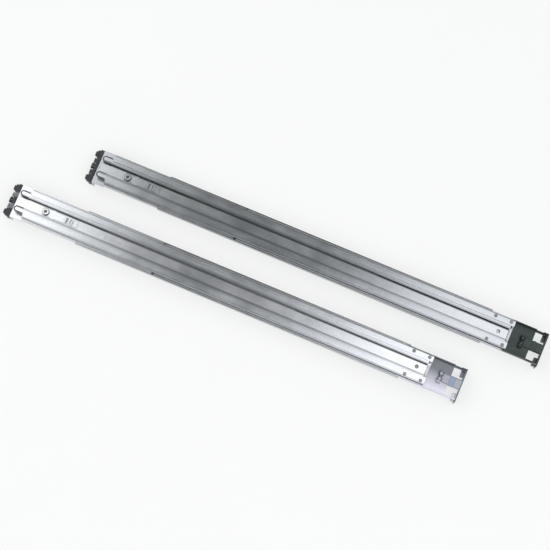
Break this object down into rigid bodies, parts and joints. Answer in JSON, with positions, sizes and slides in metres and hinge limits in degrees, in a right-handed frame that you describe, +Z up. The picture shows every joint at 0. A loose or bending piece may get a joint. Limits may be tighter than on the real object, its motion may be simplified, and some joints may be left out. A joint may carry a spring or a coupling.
{
  "type": "sliding server rail pair",
  "caption": "Pair of ball-bearing telescopic rack rails with toolless front pins, claw latch and an adjustable rear bracket, lying side by side on their backs.",
  "frame": {"origin": "centre of the pair's bounding box, on the surface that the end flanges stand on", "axes": "+X from the front pins to the rear flange, +Y from the right rail to the left rail, +Z up, out of the open side that faces the server"},
  "size_m": [0.6764, 0.1222, 0.0342],
  "materials": {
    "zinc_steel": "satin bright zinc plate",
    "slide_steel": "satin bright zinc plate",
    "bracket_steel": "satin zinc plate",
    "rear_steel": "zinc plate, greyer",
    "cage_steel": "thin bright strip",
    "fastener_steel": "zinc plated, satin",
    "ball_steel": "polished",
    "latch_steel": "dark grey phosphate",
    "spring_steel": "oiled spring strip",
    "black_moulding": "black glass-filled nylon",
    "black_oxide": "black oxide",
    "nylon": "natural nylon"
  },
  "bodies": {
    "left_rail": {"left_outer_member": "zinc_steel", "left_outer_channel": "zinc_steel", "left_front_bracket": "bracket_steel", "left_front_pin_block": "black_moulding", "left_front_screw_insert": "black_oxide", "left_front_latch_pivot": "fastener_steel", "left_front_latch_spring": "spring_steel", "left_bracket_rivets": "fastener_steel", "left_shoulder_rivets": "fastener_steel", "left_front_stops": "zinc_steel", "left_rear_stops": "zinc_steel", "left_stop_rivets": "fastener_steel", "left_rear_bumper": "nylon"},
    "left_rear_bracket": {"left_rear_bracket": "rear_steel", "left_rear_nuts": "rear_steel", "left_rear_latch_pivot": "fastener_steel", "left_rear_latch_spring": "spring_steel"},
    "left_intermediate": {"left_intermediate_member": "slide_steel", "left_lip_caps": "nylon", "left_lock_lever_rivet": "fastener_steel", "left_lock_lever_spring": "spring_steel"},
    "left_outer_cage": {"left_outer_ball_cage": "cage_steel", "left_outer_balls": "ball_steel"},
    "left_inner_cage": {"left_inner_ball_cage": "cage_steel", "left_inner_balls": "ball_steel"},
    "left_front_latch": {"left_front_latch": "latch_steel"},
    "left_rear_latch": {"left_rear_latch": "rear_steel"},
    "left_lock_lever": {"left_lock_lever": "slide_steel"},
    "right_rail": {"right_outer_member": "zinc_steel", "right_outer_channel": "zinc_steel", "right_front_bracket": "bracket_steel", "right_front_pin_block": "black_moulding", "right_front_screw_insert": "black_oxide", "right_front_latch_pivot": "fastener_steel", "right_front_latch_spring": "spring_steel", "right_bracket_rivets": "fastener_steel", "right_shoulder_rivets": "fastener_steel", "right_front_stops": "zinc_steel", "right_rear_stops": "zinc_steel", "right_stop_rivets": "fastener_steel", "right_rear_bumper": "nylon"},
    "right_rear_bracket": {"right_rear_bracket": "rear_steel", "right_rear_nuts": "rear_steel", "right_rear_latch_pivot": "fastener_steel", "right_rear_latch_spring": "spring_steel"},
    "right_intermediate": {"right_intermediate_member": "slide_steel", "right_lip_caps": "nylon", "right_lock_lever_rivet": "fastener_steel", "right_lock_lever_spring": "spring_steel"},
    "right_outer_cage": {"right_outer_ball_cage": "cage_steel", "right_outer_balls": "ball_steel"},
    "right_inner_cage": {"right_inner_ball_cage": "cage_steel", "right_inner_balls": "ball_steel"},
    "right_front_latch": {"right_front_latch": "latch_steel"},
    "right_rear_latch": {"right_rear_latch": "rear_steel"},
    "right_lock_lever": {"right_lock_lever": "slide_steel"}
  },
  "joints": [
    {"name": "left_intermediate_slide", "type": "slide", "parent": "left_rail", "child": "left_intermediate", "axis": [-1, 0, 0], "range_m": [0, 0.34]},
    {"name": "left_outer_cage_slide", "type": "slide", "parent": "left_rail", "child": "left_outer_cage", "axis": [-1, 0, 0], "range_m": [0, 0.17]},
    {"name": "left_inner_cage_slide", "type": "slide", "parent": "left_intermediate", "child": "left_inner_cage", "axis": [1, 0, 0], "range_m": [-0.03, 0.15]},
    {"name": "left_rear_bracket_slide", "type": "slide", "parent": "left_rail", "child": "left_rear_bracket", "axis": [1, 0, 0], "range_m": [0, 0.24]},
    {"name": "left_front_latch_hinge", "type": "hinge", "parent": "left_rail", "child": "left_front_latch", "pos_m": [-0.2428, 0.0393, 0.0108], "axis": [0, 1, 0], "range_deg": [0, 10], "stiffness_Nm_per_rad": 0.2, "springref_deg": -5.73},
    {"name": "left_rear_latch_hinge", "type": "hinge", "parent": "left_rear_bracket", "child": "left_rear_latch", "pos_m": [0.3098, 0.0393, 0.0256], "axis": [0, -1, 0], "range_deg": [0, 8], "stiffness_Nm_per_rad": 0.1, "springref_deg": -5.73},
    {"name": "left_lock_lever_hinge", "type": "hinge", "parent": "left_intermediate", "child": "left_lock_lever", "pos_m": [-0.2119, 0.0393, 0.0261], "axis": [0, 0, 1], "range_deg": [-6, 6], "stiffness_Nm_per_rad": 0.05},
    {"name": "right_intermediate_slide", "type": "slide", "parent": "right_rail", "child": "right_intermediate", "axis": [-1, 0, 0], "range_m": [0, 0.34]},
    {"name": "right_outer_cage_slide", "type": "slide", "parent": "right_rail", "child": "right_outer_cage", "axis": [-1, 0, 0], "range_m": [0, 0.17]},
    {"name": "right_inner_cage_slide", "type": "slide", "parent": "right_intermediate", "child": "right_inner_cage", "axis": [1, 0, 0], "range_m": [-0.03, 0.15]},
    {"name": "right_rear_bracket_slide", "type": "slide", "parent": "right_rail", "child": "right_rear_bracket", "axis": [1, 0, 0], "range_m": [0, 0.24]},
    {"name": "right_front_latch_hinge", "type": "hinge", "parent": "right_rail", "child": "right_front_latch", "pos_m": [-0.3182, -0.0393, 0.0108], "axis": [0, 1, 0], "range_deg": [0, 10], "stiffness_Nm_per_rad": 0.2, "springref_deg": -5.73},
    {"name": "right_rear_latch_hinge", "type": "hinge", "parent": "right_rear_bracket", "child": "right_rear_latch", "pos_m": [0.2344, -0.0393, 0.0256], "axis": [0, -1, 0], "range_deg": [0, 8], "stiffness_Nm_per_rad": 0.1, "springref_deg": -5.73},
    {"name": "right_lock_lever_hinge", "type": "hinge", "parent": "right_intermediate", "child": "right_lock_lever", "pos_m": [-0.2873, -0.0393, 0.0261], "axis": [0, 0, 1], "range_deg": [-6, 6], "stiffness_Nm_per_rad": 0.05},
    {"name": "rail_spread", "type": "slide", "parent": "left_rail", "child": "right_rail", "axis": [0, -1, 0], "range_m": [0, 0.4]}
  ],
  "couplings": [
    {"joint": "left_outer_cage_slide", "follows": "left_intermediate_slide", "ratio": 0.5},
    {"joint": "right_outer_cage_slide", "follows": "right_intermediate_slide", "ratio": 0.5}
  ]
}
